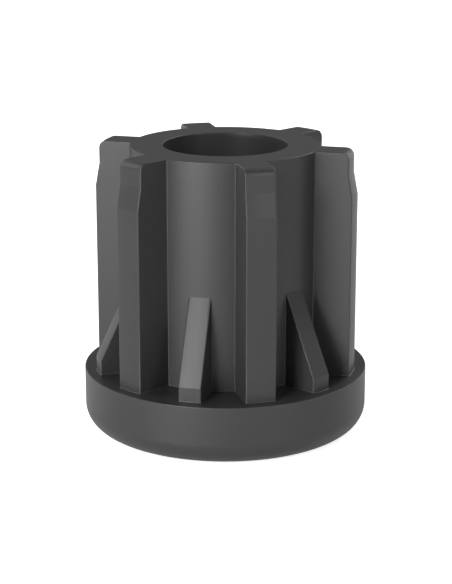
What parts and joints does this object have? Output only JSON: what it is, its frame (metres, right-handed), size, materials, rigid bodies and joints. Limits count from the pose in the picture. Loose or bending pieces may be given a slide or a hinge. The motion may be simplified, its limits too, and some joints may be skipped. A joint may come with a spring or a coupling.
{
  "type": "threaded tube insert",
  "caption": "Ribbed plastic insert for the end of a round tube, with a round flanged head, full-height press ribs, small gussets and a moulded metric thread along its axis.",
  "frame": {"origin": "on the axis, at the underside of the head, which the part stands on", "axes": "+Z along the axis, from the head up the stem, the way the insert is pressed into the tube; +X through the middle of one rib, +Y through the middle of one gusset"},
  "size_m": [0.03, 0.03, 0.0301],
  "materials": {
    "black_plastic": "dark grey-black moulded polyamide with a fine matte grain"
  },
  "bodies": {
    "root": {"tube_insert": "black_plastic"}
  },
  "joints": []
}
